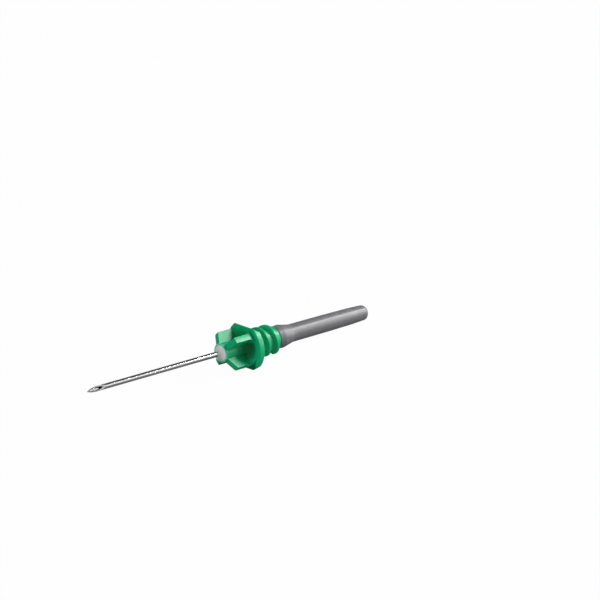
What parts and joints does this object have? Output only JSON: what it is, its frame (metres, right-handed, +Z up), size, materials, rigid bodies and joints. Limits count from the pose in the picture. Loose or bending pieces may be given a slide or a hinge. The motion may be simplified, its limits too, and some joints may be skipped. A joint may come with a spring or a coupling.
{
  "type": "blood collection needle",
  "caption": "Double-ended blood collection needle: lancet-pointed steel tube bonded in a green winged hub with a male thread, rubber sleeve over the rear half.",
  "frame": {"origin": "middle of the outer box at the height of the surface that the needle lies on", "axes": "+Z up, the needle along X with its point towards -X; the axis tilts down towards +X by 5.3 degrees, because the needle lies on a flat of its flange and its sleeve's end"},
  "size_m": [0.0536, 0.0078, 0.0066],
  "materials": {
    "steel": "drawn and polished",
    "green_plastic": "moulded, satin",
    "adhesive": "cured, cloudy",
    "grey_rubber": "matt, dusted"
  },
  "bodies": {
    "root": {"cannula": "steel", "hub": "green_plastic", "adhesive_bead": "adhesive", "rubber_sleeve": "grey_rubber"}
  },
  "joints": []
}
